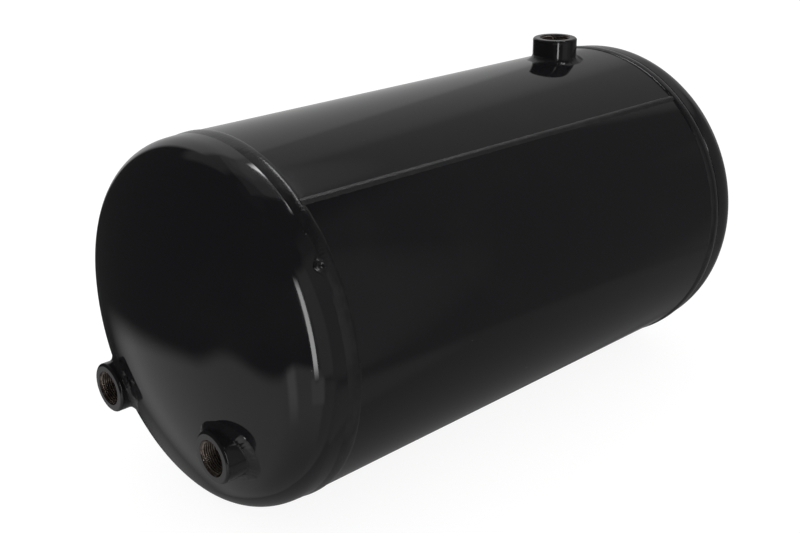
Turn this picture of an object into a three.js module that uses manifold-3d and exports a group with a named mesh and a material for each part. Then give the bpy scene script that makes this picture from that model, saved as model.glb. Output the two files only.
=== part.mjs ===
// Compressed-air reservoir for a vehicle air-brake circuit.
// A rolled and seam-welded shell, two dished heads joined by girth welds, and three tapped port bosses.
// Millimetres, +Z up. The tank axis is Y, with the front head (two ports) towards -Y.
// The origin is on the tank axis, midway between the heads.

import * as THREE from 'three';
import { mergeVertices } from 'three/addons/utils/BufferGeometryUtils.js';
import Module from 'manifold-3d';

// ---------- driving dimensions ----------

const SHELL_RADIUS = 123;          // outside of the rolled shell
const SHELL_WALL = 2.5;
const HALF_SHELL = 180.4;          // mid length to the weld toe on the shell's outside
const SHELL_BEVEL = 2.2;           // how far the shell's inner edge runs on past the toe
const FIT_GAP = 0.3;               // clearance between neighbouring pieces

const SEAM_ANGLE = 51.7;           // degrees from +X towards +Z
const SEAM_HALF_WIDTH = 2.0;       // of the groove at the shell's outside
const SEAM_ROOT_HALF_WIDTH = 1.0;  // of the groove at the shell's inside
const SEAM_CROWN = 0.9;            // bead height over the shell
const CUTTER_RISE = 4;             // how far the groove's cutter stands over the shell

const HEAD_WALL = 3;
const HEAD_SKIRT = 14.8;           // toe to the start of the knuckle
const KNUCKLE_RADIUS = 32;
const CROWN_RADIUS = 246;          // the same as the shell's diameter
const GIRTH_WIDTH = 9.6;           // girth bead, toe to toe
const GIRTH_CROWN = 1.1;           // bead height over the shell
const QUARTER_HEIGHT = 0.75;       // share of that height a quarter of the way across
const TONGUE_REACH = 14;           // joggled tongue inside the shell, past the toe
const JOGGLE_RUN = 3;              // axial length of the step down to the tongue
const JOGGLE_SHIFT = 1;            // how much nearer the head the step lies on the inside

const BOSS_RADIUS = 17;
const BOSS_LENGTH = 24;
const BOSS_CHAMFER = 1;
const BORE_RADIUS = 10.2;          // minor radius of an M22 x 1.5 thread
const MOUTH_RADIUS = 11.6;
const MOUTH_DEPTH = 1.4;
const FRONT_BOSS_FACE = 246;       // distance of the port faces from mid length
const FRONT_BOSS_CIRCLE = 80;      // radius of the circle that both front bosses lie on
const FRONT_BOSS_ANGLE = 49.7;     // degrees to either side of straight down
const TOP_BOSS_FACE = 139.5;       // height of the port face over the tank axis
const TOP_BOSS_Y = 131;
const FILLET_SPREAD = 6.3;         // fillet weld, boss wall to toe
const FILLET_RISE = 3.6;           // fillet weld, up the boss wall

const ROUND_STEPS = 64;            // facets round the shell and the heads
const BOSS_STEPS = 32;             // facets round a boss
const KNUCKLE_STEPS = 5;           // facets over the knuckle
const CROWN_STEPS = 4;             // facets from the knuckle to the axis
const CURVE_STEPS = 8;             // facets over the seam bead

// ---------- materials ----------

const blackPaint = { color: 0x0b0b0d, roughness: 0.18, metalness: 0.0 };
const paints = {
  shell: new THREE.MeshStandardMaterial(blackPaint),
  head: new THREE.MeshStandardMaterial({ ...blackPaint, roughness: 0.15 }),
  weld: new THREE.MeshStandardMaterial({ ...blackPaint, roughness: 0.28 }),
  boss: new THREE.MeshStandardMaterial({ ...blackPaint, roughness: 0.22, metalness: 0.1 }),
};

// ---------- solids ----------

const wasm = await Module();
wasm.setup();

const TO_RADIANS = Math.PI / 180;

/** A geometry reduced to merged positions, so that neighbouring faces share their corners. */
function welded(geometry) {
  const bare = geometry.clone();
  bare.deleteAttribute('normal');
  bare.deleteAttribute('uv');
  return mergeVertices(bare, 1e-5);
}

/** A closed geometry as a solid. */
function toSolid(geometry) {
  const merged = welded(geometry);
  return new wasm.Manifold(new wasm.Mesh({
    numProp: 3,
    vertProperties: new Float32Array(merged.attributes.position.array),
    triVerts: new Uint32Array(merged.index.array),
  }));
}

/** A solid as a geometry. */
function toGeometry(solid) {
  const mesh = solid.getMesh();
  const geometry = new THREE.BufferGeometry();
  geometry.setAttribute('position', new THREE.BufferAttribute(mesh.vertProperties, 3));
  geometry.setIndex(new THREE.BufferAttribute(mesh.triVerts, 1));
  geometry.computeVertexNormals();
  return geometry;
}

/** A solid of revolution about Y from a closed list of [radius, y] corners. */
function turned(corners, steps) {
  const points = [...corners, corners[0]].map(([radius, y]) => new THREE.Vector2(radius, y));
  return new THREE.LatheGeometry(points, steps);
}

/** Points on an arc in the [radius, y] plane; angles in radians from the radius direction. */
function arc(centre, radius, from, to, count) {
  const points = [];
  for (let i = 0; i <= count; i += 1) {
    const angle = from + ((to - from) * i) / count;
    points.push([centre[0] + radius * Math.cos(angle), centre[1] + radius * Math.sin(angle)]);
  }
  return points;
}

/** A round bar along +Y or +Z for cutting a boss hole, centred on the given point. */
function holeCutter(centre, alongZ) {
  const bar = new THREE.CylinderGeometry(
    BOSS_RADIUS + FIT_GAP, BOSS_RADIUS + FIT_GAP, 3 * BOSS_LENGTH, BOSS_STEPS);
  if (alongZ) bar.rotateX(Math.PI / 2);
  bar.translate(...centre);
  return toSolid(bar);
}

// ---------- dished head shape ----------

// Angle from the tank axis at which the crown meets the knuckle.
const CROWN_HALF_ANGLE = Math.asin((SHELL_RADIUS - KNUCKLE_RADIUS) / (CROWN_RADIUS - KNUCKLE_RADIUS));
// Crown centre, measured along the axis from the start of the knuckle (negative: inside the tank).
const CROWN_CENTRE = -(CROWN_RADIUS - KNUCKLE_RADIUS) * Math.cos(CROWN_HALF_ANGLE);
// Start of the knuckle, measured from mid length.
const KNUCKLE_START = HALF_SHELL + HEAD_SKIRT;

/** Distance from mid length to the head's outside, on its crown, at a radius from the tank axis. */
function crownHeight(radius) {
  return KNUCKLE_START + CROWN_CENTRE + Math.sqrt(CROWN_RADIUS ** 2 - radius ** 2);
}

/** Corners of the knuckle and crown, from the rim to the axis, inset by a wall thickness. */
function dishCorners(inset) {
  const knuckle = arc(
    [SHELL_RADIUS - KNUCKLE_RADIUS, KNUCKLE_START], KNUCKLE_RADIUS - inset,
    0, Math.PI / 2 - CROWN_HALF_ANGLE, KNUCKLE_STEPS);
  const crown = arc(
    [0, KNUCKLE_START + CROWN_CENTRE], CROWN_RADIUS - inset,
    Math.PI / 2 - CROWN_HALF_ANGLE, Math.PI / 2, CROWN_STEPS);
  crown[crown.length - 1][0] = 0;
  return [...knuckle, ...crown.slice(1)];
}

/** A whole head towards +Y: dish, straight skirt and the joggled tongue under the girth weld. */
function headGeometry() {
  const tongueOuter = SHELL_RADIUS - SHELL_WALL - FIT_GAP;
  const tongueInner = tongueOuter - HEAD_WALL;
  const shoulder = HALF_SHELL + GIRTH_WIDTH;
  const outside = [
    [tongueOuter, HALF_SHELL - TONGUE_REACH],
    [tongueOuter, shoulder - JOGGLE_RUN],
    [SHELL_RADIUS, shoulder],
    ...dishCorners(0),
  ];
  const inside = [
    ...dishCorners(HEAD_WALL).reverse(),
    [SHELL_RADIUS - HEAD_WALL, shoulder + JOGGLE_SHIFT],
    [tongueInner, shoulder - JOGGLE_RUN + JOGGLE_SHIFT],
    [tongueInner, HALF_SHELL - TONGUE_REACH],
  ];
  const points = [...outside, ...inside, outside[0]].map(([r, y]) => new THREE.Vector2(r, y));
  return new THREE.LatheGeometry(points, ROUND_STEPS);
}

// ---------- pieces ----------

/** The rolled shell: bevelled ends, a groove for the seam weld and a hole for the top boss. */
function shellGeometry() {
  const inner = SHELL_RADIUS - SHELL_WALL;
  const long = HALF_SHELL + SHELL_BEVEL;
  const tube = toSolid(turned(
    [[inner, -long], [SHELL_RADIUS, -HALF_SHELL], [SHELL_RADIUS, HALF_SHELL], [inner, long]],
    ROUND_STEPS));
  const cutter = seamSection(SEAM_HALF_WIDTH, SEAM_ROOT_HALF_WIDTH, CUTTER_RISE, 2 * SHELL_WALL, 2 * long);
  const groove = toSolid(cutter);
  const hole = holeCutter([0, TOP_BOSS_Y, SHELL_RADIUS], true);
  return toGeometry(tube.subtract(groove).subtract(hole));
}

/**
 * A tapered bar lying along the seam.
 * @param {number} halfWidth half its width at the shell's outside
 * @param {number} rootHalfWidth half its width at the shell's inside
 * @param {number} height how far it reaches over the shell's outside
 * @param {number} depth how far it reaches below the shell's outside
 * @param {number} length its length along the tank axis
 * @returns {THREE.BufferGeometry} the bar
 */
function seamSection(halfWidth, rootHalfWidth, height, depth, length) {
  const slope = (halfWidth - rootHalfWidth) / SHELL_WALL;
  const section = new THREE.Shape([
    new THREE.Vector2(SHELL_RADIUS - depth, -halfWidth + slope * depth),
    new THREE.Vector2(SHELL_RADIUS - depth, halfWidth - slope * depth),
    new THREE.Vector2(SHELL_RADIUS + height, halfWidth + slope * height),
    new THREE.Vector2(SHELL_RADIUS + height, -halfWidth - slope * height),
  ]);
  return alongSeam(section, length);
}

/** A section drawn with its X as the radius, run along the tank axis at the seam's angle. */
function alongSeam(section, length) {
  const bar = new THREE.ExtrudeGeometry(section, { depth: length, bevelEnabled: false });
  bar.translate(0, 0, -length / 2);
  bar.rotateX(-Math.PI / 2);
  bar.rotateY(-SEAM_ANGLE * TO_RADIANS);
  return bar;
}

/** The longitudinal weld: fills the groove and stands over the shell as a low rounded bead. */
function seamWeldGeometry() {
  const half = SEAM_HALF_WIDTH - FIT_GAP;
  const root = SEAM_ROOT_HALF_WIDTH - FIT_GAP;
  const section = new THREE.Shape();
  section.moveTo(SHELL_RADIUS - SHELL_WALL, -root);
  section.lineTo(SHELL_RADIUS, -half);
  section.quadraticCurveTo(SHELL_RADIUS + 2 * SEAM_CROWN, 0, SHELL_RADIUS, half);
  section.lineTo(SHELL_RADIUS - SHELL_WALL, root);
  section.closePath();
  const points = new THREE.Shape(section.extractPoints(CURVE_STEPS).shape.map((p) => p.clone()));
  return alongSeam(points, 2 * HALF_SHELL - 2 * FIT_GAP);
}

/** The girth weld towards +Y: fills the joint between shell and head, with a rounded crown. */
function girthWeldGeometry() {
  const floor = SHELL_RADIUS - SHELL_WALL;
  const start = HALF_SHELL + FIT_GAP;
  const end = HALF_SHELL + GIRTH_WIDTH - FIT_GAP;
  const middle = (start + end) / 2;
  const quarter = (end - start) / 4;
  return turned([
    [floor, start + SHELL_BEVEL],
    [floor, end - JOGGLE_RUN],
    [SHELL_RADIUS, end],
    [SHELL_RADIUS + GIRTH_CROWN * QUARTER_HEIGHT, middle + quarter],
    [SHELL_RADIUS + GIRTH_CROWN, middle],
    [SHELL_RADIUS + GIRTH_CROWN * QUARTER_HEIGHT, middle - quarter],
    [SHELL_RADIUS, start],
  ].reverse(), ROUND_STEPS);
}

/** A port boss with its face at the origin, its body along -Y and a chamfered through bore. */
function bossGeometry() {
  return turned([
    [BORE_RADIUS, -BOSS_LENGTH],
    [BOSS_RADIUS - BOSS_CHAMFER, -BOSS_LENGTH],
    [BOSS_RADIUS, -BOSS_LENGTH + BOSS_CHAMFER],
    [BOSS_RADIUS, -BOSS_CHAMFER],
    [BOSS_RADIUS - BOSS_CHAMFER, 0],
    [MOUTH_RADIUS, 0],
    [BORE_RADIUS, -MOUTH_DEPTH],
  ], BOSS_STEPS);
}

/**
 * A fillet weld round a boss whose face is at the origin and whose body runs along -Y.
 * wallHeight(u, v) is the height, along +Y, of the vessel's outside at a sideways offset u, v.
 */
function filletGeometry(wallHeight) {
  const inner = BOSS_RADIUS + FIT_GAP;
  const section = [
    [0, 0, 0],
    [0, 1, 0],
    [0.25, 0.42, 0],
    [0.55, 0.14, 0],
    [1, 0, 0.25],
    [0.5, 0, 0],
  ];
  const positions = [];
  for (let step = 0; step < BOSS_STEPS; step += 1) {
    const turn = (2 * Math.PI * step) / BOSS_STEPS;
    section.forEach(([out, up, lift]) => {
      const radius = inner + FILLET_SPREAD * out;
      const u = radius * Math.cos(turn);
      const v = radius * Math.sin(turn);
      positions.push(u, wallHeight(u, v) + FIT_GAP + lift + FILLET_RISE * up, v);
    });
  }
  const indices = [];
  const count = section.length;
  for (let step = 0; step < BOSS_STEPS; step += 1) {
    const next = (step + 1) % BOSS_STEPS;
    for (let i = 0; i < count; i += 1) {
      const j = (i + 1) % count;
      const [a, b] = [step * count + i, step * count + j];
      const [c, d] = [next * count + i, next * count + j];
      indices.push(a, c, b, b, c, d);
    }
  }
  const geometry = new THREE.BufferGeometry();
  geometry.setAttribute('position', new THREE.Float32BufferAttribute(positions, 3));
  geometry.setIndex(indices);
  geometry.computeVertexNormals();
  return geometry;
}

// ---------- assembly ----------

const reservoir = new THREE.Group();

/** Adds a named mesh to a parent group. */
function addPiece(parent, name, geometry, material) {
  const mesh = new THREE.Mesh(geometry, material);
  mesh.name = name;
  parent.add(mesh);
}

addPiece(reservoir, 'shell', shellGeometry(), paints.shell);
addPiece(reservoir, 'longitudinal_seam_weld', seamWeldGeometry(), paints.weld);

const frontPorts = [
  { name: 'front_left', side: -1 },
  { name: 'front_right', side: 1 },
].map(({ name, side }) => ({
  name,
  x: side * FRONT_BOSS_CIRCLE * Math.sin(FRONT_BOSS_ANGLE * TO_RADIANS),
  z: -FRONT_BOSS_CIRCLE * Math.cos(FRONT_BOSS_ANGLE * TO_RADIANS),
}));

// Both ends are modelled towards +Y; the front one is turned half a turn about Z.
const rearEnd = new THREE.Group();
addPiece(rearEnd, 'rear_head', headGeometry(), paints.head);
addPiece(rearEnd, 'rear_girth_weld', girthWeldGeometry(), paints.weld);
reservoir.add(rearEnd);

const frontEnd = new THREE.Group();
frontEnd.rotation.z = Math.PI;
const frontHead = frontPorts.reduce(
  (solid, port) => solid.subtract(holeCutter([-port.x, FRONT_BOSS_FACE, port.z], false)),
  toSolid(headGeometry()));
addPiece(frontEnd, 'front_head', toGeometry(frontHead), paints.head);
addPiece(frontEnd, 'front_girth_weld', girthWeldGeometry(), paints.weld);
reservoir.add(frontEnd);

// Each port is modelled with its face at the origin, looking along +Y, then turned into place.
frontPorts.forEach(({ name, x, z }) => {
  const port = new THREE.Group();
  port.rotation.z = Math.PI;
  port.position.set(x, -FRONT_BOSS_FACE, z);
  const wall = (u, v) => crownHeight(Math.hypot(x - u, z + v)) - FRONT_BOSS_FACE;
  addPiece(port, `${name}_boss`, bossGeometry(), paints.boss);
  addPiece(port, `${name}_boss_weld`, filletGeometry(wall), paints.weld);
  reservoir.add(port);
});

const topPort = new THREE.Group();
topPort.rotation.x = Math.PI / 2;
topPort.position.set(0, TOP_BOSS_Y, TOP_BOSS_FACE);
const shellWall = (u) => Math.sqrt(SHELL_RADIUS ** 2 - u ** 2) - TOP_BOSS_FACE;
addPiece(topPort, 'top_boss', bossGeometry(), paints.boss);
addPiece(topPort, 'top_boss_weld', filletGeometry(shellWall), paints.weld);
reservoir.add(topPort);

export default reservoir;
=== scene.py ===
"""Looks of a compressed-air reservoir: a rolled shell, two dished heads, weld beads and three tapped ports.

Everything is in metres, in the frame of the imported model: +Y runs along the tank axis from the head with
two ports to the plain head, +Z is up through the top port, and the origin is on the axis at mid length.
Each sub-assembly is a class that reads its place from the frame, builds its meshes and dresses them.
"""

import logging
import math
from dataclasses import dataclass
from enum import Enum
from typing import Any, Callable, Iterable, Sequence, Union

import bmesh
import bpy
from mathutils import Matrix, Vector, noise


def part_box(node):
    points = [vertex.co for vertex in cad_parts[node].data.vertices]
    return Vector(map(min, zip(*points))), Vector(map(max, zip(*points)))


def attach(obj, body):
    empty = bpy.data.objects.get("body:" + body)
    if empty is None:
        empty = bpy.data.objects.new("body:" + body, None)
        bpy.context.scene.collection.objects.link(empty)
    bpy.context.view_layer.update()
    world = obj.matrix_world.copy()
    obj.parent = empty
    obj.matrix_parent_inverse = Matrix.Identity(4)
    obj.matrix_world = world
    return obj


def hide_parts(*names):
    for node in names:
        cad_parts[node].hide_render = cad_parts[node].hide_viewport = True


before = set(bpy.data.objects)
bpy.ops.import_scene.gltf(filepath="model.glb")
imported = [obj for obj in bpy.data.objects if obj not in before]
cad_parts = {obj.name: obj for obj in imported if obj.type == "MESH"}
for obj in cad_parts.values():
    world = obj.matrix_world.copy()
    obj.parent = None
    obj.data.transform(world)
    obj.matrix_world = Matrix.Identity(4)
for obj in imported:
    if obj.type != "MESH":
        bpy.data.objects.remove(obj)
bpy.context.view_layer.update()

BODY = "root"
FIT_GAP = 0.0003
SHARP_ANGLE = math.radians(38)

log = logging.getLogger("reservoir")

Profile = list[tuple[float, float]]
Place = Callable[[float, float, float], Vector]
Value = Union["Signal", float]


# ---------- choices ----------


class Slot(Enum):
    """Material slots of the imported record."""

    VESSEL = "vessel_paint"
    WELD = "weld_paint"
    BOSS = "boss_paint"


class End(Enum):
    """The two ends of the tank, by the sign of their Y."""

    FRONT = -1
    REAR = 1


class Facing(Enum):
    """Which way a port looks."""

    FORWARD = "forward"
    UP = "up"


# ---------- node trees written as expressions ----------


class Signal:
    """A socket that carries a number and takes part in Python arithmetic."""

    def __init__(self, graph: "Graph", socket: bpy.types.NodeSocket) -> None:
        """Wrap a socket of a graph."""
        self.graph = graph
        self.socket = socket

    def math(self, operation: str, *operands: Value) -> "Signal":
        """Add a Math node on these operands."""
        settings = {"operation": operation}
        return self.graph.add("ShaderNodeMath", settings, dict(enumerate(operands)))["Value"]

    def __add__(self, other: Value) -> "Signal":
        """Sum."""
        return self.math("ADD", self, other)

    def __radd__(self, other: Value) -> "Signal":
        """Sum with the signal on the right."""
        return self.math("ADD", other, self)

    def __sub__(self, other: Value) -> "Signal":
        """Difference."""
        return self.math("SUBTRACT", self, other)

    def __rsub__(self, other: Value) -> "Signal":
        """Difference with the signal on the right."""
        return self.math("SUBTRACT", other, self)

    def __mul__(self, other: Value) -> "Signal":
        """Product."""
        return self.math("MULTIPLY", self, other)

    def __rmul__(self, other: Value) -> "Signal":
        """Product with the signal on the right."""
        return self.math("MULTIPLY", other, self)

    def __truediv__(self, other: Value) -> "Signal":
        """Quotient."""
        return self.math("DIVIDE", self, other)

    def __pow__(self, other: Value) -> "Signal":
        """Power."""
        return self.math("POWER", self, other)

    def __neg__(self) -> "Signal":
        """Opposite."""
        return self.math("MULTIPLY", self, -1.0)

    def __abs__(self) -> "Signal":
        """Size without its sign."""
        return self.math("ABSOLUTE", self)

    def most(self, other: Value) -> "Signal":
        """The larger of two values."""
        return self.math("MAXIMUM", self, other)

    def least(self, other: Value) -> "Signal":
        """The smaller of two values."""
        return self.math("MINIMUM", self, other)

    def ramp(self, start: Value, end: Value) -> "Signal":
        """A smooth step from 0 at start to 1 at end.

        Args:
            start: value at which the step leaves 0.
            end: value at which it reaches 1; it may be the smaller one.

        Returns:
            The step, held between 0 and 1.
        """
        sockets = {"Value": self, "From Min": start, "From Max": end}
        return self.graph.add("ShaderNodeMapRange", {"interpolation_type": "SMOOTHSTEP"}, sockets)["Result"]


class VectorSignal(Signal):
    """A socket that carries a vector; its arithmetic goes through Vector Math."""

    def vector_math(self, operation: str, *operands: Any) -> "VectorSignal":
        """Add a Vector Math node on these operands."""
        settings = {"operation": operation}
        return self.graph.add("ShaderNodeVectorMath", settings, dict(enumerate(operands))).vector("Vector")

    def __add__(self, other: Any) -> "VectorSignal":
        """Sum of vectors."""
        return self.vector_math("ADD", self, other)

    def __mul__(self, other: Any) -> "VectorSignal":
        """Product, part by part."""
        return self.vector_math("MULTIPLY", self, other)

    def scaled(self, factor: Value) -> "VectorSignal":
        """The vector times a number."""
        return self.graph.add(
            "ShaderNodeVectorMath", {"operation": "SCALE"}, {0: self, "Scale": factor}).vector("Vector")

    def parts(self) -> tuple[Signal, Signal, Signal]:
        """The vector's three numbers."""
        split = self.graph.add("ShaderNodeSeparateXYZ", None, {"Vector": self})
        return split["X"], split["Y"], split["Z"]


class Built:
    """A node that has been added, whose outputs are read by name or number."""

    def __init__(self, graph: "Graph", node: bpy.types.Node) -> None:
        """Wrap a node of a graph."""
        self.graph = graph
        self.node = node

    def __getitem__(self, output: Union[str, int]) -> Signal:
        """An output as a number."""
        return Signal(self.graph, self.node.outputs[output])

    def vector(self, output: Union[str, int]) -> VectorSignal:
        """An output as a vector."""
        return VectorSignal(self.graph, self.node.outputs[output])


class Graph:
    """A node tree under construction."""

    def __init__(self, tree: bpy.types.NodeTree) -> None:
        """Start from a tree, whose own nodes are removed."""
        self.tree = tree
        tree.nodes.clear()

    def add(self, kind: str, settings: dict[str, Any] | None = None,
            sockets: dict[Union[str, int], Any] | None = None) -> Built:
        """Add one node.

        Args:
            kind: the node's type.
            settings: its properties, set before its sockets.
            sockets: values or links of its inputs, by name or number.

        Returns:
            The node, for reading its outputs.
        """
        node = self.tree.nodes.new(kind)
        for key, value in (settings or {}).items():
            setattr(node, key, value)
        for key, value in (sockets or {}).items():
            if isinstance(value, Signal):
                self.tree.links.new(value.socket, node.inputs[key])
            else:
                node.inputs[key].default_value = value
        return Built(self, node)

    def noise(self, where: VectorSignal, size: float, seed: float, detail: float) -> Signal:
        """Smooth noise of a given feature size, centred on 0.

        Args:
            where: coordinates in metres.
            size: distance between features.
            seed: picks the pattern.
            detail: number of finer layers.

        Returns:
            A number from about -1 to 1.
        """
        sockets = {"Vector": where, "W": seed, "Scale": 1.0 / size, "Detail": detail}
        made = self.add("ShaderNodeTexNoise", {"noise_dimensions": "4D"}, sockets)
        return (made[0] - 0.5) * 2.0


# ---------- finishes ----------


def empty_material(name: str) -> tuple[bpy.types.Material, Graph]:
    """A new material and its empty graph."""
    material = bpy.data.materials.new(name)
    material.use_nodes = True
    return material, Graph(material.node_tree)


class Finish:
    """Shared parts of every finish: a Principled shader, fed on Object coordinates."""

    @staticmethod
    def begin(name: str) -> tuple[bpy.types.Material, Graph, VectorSignal]:
        """Make an empty material, its graph and its Object coordinates.

        Args:
            name: the material's name.

        Returns:
            The material, its graph and its coordinates.
        """
        material, graph = empty_material(name)
        return material, graph, graph.add("ShaderNodeTexCoord").vector("Object")

    @staticmethod
    def mix(graph: Graph, share: Value, low: Any, high: Any) -> VectorSignal:
        """A colour between two others.

        Args:
            graph: the tree.
            share: 0 for the low colour, 1 for the high one.
            low: colour or link.
            high: colour or link.

        Returns:
            The mixed colour.
        """
        made = graph.add("ShaderNodeMix", {"data_type": "RGBA"}, {0: share, 6: low, 7: high})
        return made.vector(2)

    @staticmethod
    def close(graph: Graph, colour: VectorSignal, roughness: Value, metallic: Value,
              relief: Signal, depth: float) -> None:
        """End the material in a Principled shader.

        Args:
            graph: the tree.
            colour: base colour.
            roughness: roughness.
            metallic: share of bare metal.
            relief: height of the fine surface, in units of depth.
            depth: metres for one unit of relief.
        """
        bump = graph.add("ShaderNodeBump", None, {"Strength": 1.0, "Distance": depth, "Height": relief})
        shader = graph.add("ShaderNodeBsdfPrincipled", None, {
            "Base Color": colour, "Roughness": roughness, "Metallic": metallic,
            "IOR": 1.5, "Normal": bump["Normal"]})
        graph.add("ShaderNodeOutputMaterial", None, {"Surface": shader["BSDF"]})


@dataclass(frozen=True)
class GlossPaint:
    """Stoved gloss black on sheet steel: orange peel, a dusty film, dust nibs and pale specks."""

    name: str = "gloss_black_sheet"
    colour: tuple[float, float, float, float] = (0.0066, 0.0063, 0.0072, 1.0)
    dust_colour: tuple[float, float, float, float] = (0.045, 0.044, 0.042, 1.0)
    roughness: float = 0.055
    film_roughness: float = 0.05
    film_size: float = 0.055
    peel_size: float = 0.0035
    peel_depth: float = 0.0000035
    nib_spacing: float = 0.016
    nib_radius: float = 0.03
    speck_spacing: float = 0.021
    speck_radius: float = 0.022

    def material(self) -> bpy.types.Material:
        """Build the finish."""
        material, graph, where = Finish.begin(self.name)
        film = graph.noise(where, self.film_size, 3.0, 4.0).ramp(0.0, 0.7)
        specks = self._dots(graph, where, self.speck_spacing, self.speck_radius)
        nibs = self._dots(graph, where + (0.31, 0.17, 0.53), self.nib_spacing, self.nib_radius)
        peel = graph.noise(where, self.peel_size, 1.0, 1.0)
        colour = Finish.mix(graph, (film * 0.05 + specks * 0.8).least(1.0), self.colour, self.dust_colour)
        roughness = self.roughness + film * self.film_roughness + specks * 0.3
        Finish.close(graph, colour, roughness, 0.0, peel + nibs * 6.0, self.peel_depth)
        return material

    @staticmethod
    def _dots(graph: Graph, where: VectorSignal, spacing: float, radius: float) -> Signal:
        """Sparse round dots.

        Args:
            graph: the tree.
            where: coordinates in metres.
            spacing: distance between dots.
            radius: dot radius as a share of the spacing.

        Returns:
            1 in a dot and 0 outside.
        """
        cells = graph.add("ShaderNodeTexVoronoi", None, {"Vector": where, "Scale": 1.0 / spacing})
        return cells["Distance"].ramp(radius, radius * 0.4)


@dataclass(frozen=True)
class WeldPaint:
    """The same black over weld metal: thicker in the valleys, with pits and a duller skin."""

    name: str = "gloss_black_weld"
    colour: tuple[float, float, float, float] = (0.0070, 0.0067, 0.0076, 1.0)
    dull_colour: tuple[float, float, float, float] = (0.014, 0.013, 0.013, 1.0)
    roughness: float = 0.09
    dull_roughness: float = 0.12
    patch_size: float = 0.007
    grain_size: float = 0.0011
    grain_depth: float = 0.000012

    def material(self) -> bpy.types.Material:
        """Build the finish."""
        material, graph, where = Finish.begin(self.name)
        patches = graph.noise(where, self.patch_size, 5.0, 3.0).ramp(-0.1, 0.6)
        grain = graph.noise(where, self.grain_size, 2.0, 2.0)
        lumps = graph.noise(where, self.grain_size * 3.0, 7.0, 1.0)
        colour = Finish.mix(graph, patches * 0.6, self.colour, self.dull_colour)
        roughness = self.roughness + patches * self.dull_roughness
        Finish.close(graph, colour, roughness, 0.0, lumps + grain * 0.25, self.grain_depth)
        return material


@dataclass(frozen=True)
class BossFinish:
    """Black paint over turned steel outside, and bare oily steel in the tapped bore, darkened towards the
    thread roots by painted shade.

    The mesh carries three numbers: bare (1 in the bore), along (metres below the port face) and
    reach (metres from the port's axis).
    """

    name: str = "boss_paint_and_thread"
    paint: tuple[float, float, float, float] = (0.0068, 0.0066, 0.0072, 1.0)
    steel: tuple[float, float, float, float] = (0.36, 0.31, 0.27, 1.0)
    # oil is the colour of the oil patches and also of the painted shade in the thread roots
    oil: tuple[float, float, float, float] = (0.070, 0.048, 0.038, 1.0)
    paint_roughness: float = 0.07
    steel_roughness: float = 0.26
    oil_size: float = 0.004
    mark_size: float = 0.00035
    mark_depth: float = 0.0000018

    def material(self) -> bpy.types.Material:
        """Build the finish."""
        material, graph, where = Finish.begin(self.name)
        bare = graph.add("ShaderNodeAttribute", {"attribute_name": "bare"})["Fac"]
        along = graph.add("ShaderNodeAttribute", {"attribute_name": "along"})["Fac"]
        reach = graph.add("ShaderNodeAttribute", {"attribute_name": "reach"})["Fac"]
        rings = graph.add("ShaderNodeCombineXYZ", None, {"X": along, "Y": reach}).vector("Vector")
        marks = graph.noise(rings, self.mark_size, 4.0, 1.0)
        peel = graph.noise(where, 0.0028, 6.0, 1.0)
        oil = graph.noise(where, self.oil_size, 9.0, 3.0).ramp(-0.35, 0.35)
        # painted shade: the steel turns dark towards the thread roots, where the grooves lie in shade
        root_shade = reach.ramp(0.0103, 0.0110)
        # the bore's steel colour carries the oil patches and the painted shade of the roots
        steel = Finish.mix(graph, (oil * 0.65 + root_shade * 0.6).least(1.0), self.steel, self.oil)
        colour = Finish.mix(graph, bare, self.paint, steel)
        steel_roughness = self.steel_roughness + oil * 0.12
        roughness = bare * steel_roughness + (1 - bare) * (self.paint_roughness + oil * 0.03)
        relief = marks * (0.4 + bare) + peel * (1 - bare) * 2.0
        Finish.close(graph, colour, roughness, bare * 0.9, relief, self.mark_depth)
        return material


# ---------- mesh helpers ----------


def arc(centre: tuple[float, float], radius: float, start: float, end: float, steps: int) -> Profile:
    """Points on an arc in a (radius, height) plane.

    Args:
        centre: centre of the arc.
        radius: radius of the arc.
        start: first angle in radians, from the radius direction towards the height direction.
        end: last angle.
        steps: number of chords.

    Returns:
        steps + 1 points.
    """
    angles = [start + (end - start) * i / steps for i in range(steps + 1)]
    return [(centre[0] + radius * math.cos(a), centre[1] + radius * math.sin(a)) for a in angles]


def run_between(start: tuple[float, float], end: tuple[float, float], steps: int) -> Profile:
    """Evenly spaced points from start to end, without the end itself."""
    return [(start[0] + (end[0] - start[0]) * i / steps, start[1] + (end[1] - start[1]) * i / steps)
            for i in range(steps)]


def softened(corners: Profile, radius: float, steps: int = 3) -> Profile:
    """Round off the corners of a closed outline, with a support point at both ends of each round.

    Args:
        corners: the outline's corners.
        radius: how far from each corner its round starts.
        steps: chords in each round.

    Returns:
        The finer outline.
    """
    points: Profile = []
    count = len(corners)
    for i in range(count):
        before, corner, after = (Vector(corners[(i + k) % count]) for k in (-1, 0, 1))
        start = corner + (before - corner).normalized() * radius
        end = corner + (after - corner).normalized() * radius
        points.append(tuple(start + (before - corner).normalized() * radius * 0.4))
        for k in range(steps + 1):
            t = k / steps
            points.append(tuple(start * (1 - t) ** 2 + corner * 2 * t * (1 - t) + end * t ** 2))
        points.append(tuple(end + (after - corner).normalized() * radius * 0.4))
    return points


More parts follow.
